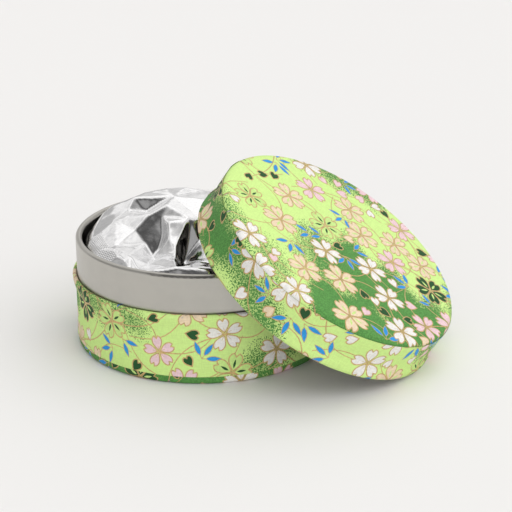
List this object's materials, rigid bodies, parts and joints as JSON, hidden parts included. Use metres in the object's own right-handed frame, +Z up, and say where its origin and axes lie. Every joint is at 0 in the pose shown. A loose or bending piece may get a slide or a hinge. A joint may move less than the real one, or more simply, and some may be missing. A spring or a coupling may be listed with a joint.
{
  "type": "tea caddy",
  "caption": "Flat round tea tin covered in printed washi paper, lid off and leaning on it, with a metal collar and a foil pouch of tea inside.",
  "frame": {"origin": "centre of the body's underside, on the surface that it stands on", "axes": "+Z up along the body's axis; +X from the body's axis towards the leaning lid; +Y completes a right-handed frame"},
  "size_m": [0.1215, 0.0846, 0.058],
  "materials": {
    "tin": "plain tinplate, satin",
    "collar_tin": "fine circumferential satin",
    "side_print": "washi, matt, with metallic gold lines",
    "base_print": "washi, matt, with metallic gold lines",
    "top_print": "washi, matt, with metallic gold lines",
    "foil": "mirror-bright crumpled foil film",
    "tea": "dry loose leaf"
  },
  "bodies": {
    "can": {"body_shell": "tin", "collar": "collar_tin", "body_side_paper": "side_print", "base_paper": "base_print"},
    "lid": {"lid_shell": "tin", "lid_top_paper": "top_print", "lid_side_paper": "side_print"},
    "pouch": {"foil_pouch": "foil", "tea_leaves": "tea"}
  },
  "joints": [
    {"name": "lid_lift", "type": "slide", "parent": "can", "child": "lid", "axis": [0.5563, 0, 0.831], "range_m": [0, 0.09]},
    {"name": "pouch_lift", "type": "slide", "parent": "can", "child": "pouch", "axis": [0, 0, 1], "range_m": [0, 0.0675]}
  ],
  "couplings": [
    {"joint": "pouch_lift", "follows": "lid_lift", "ratio": 0.75}
  ]
}
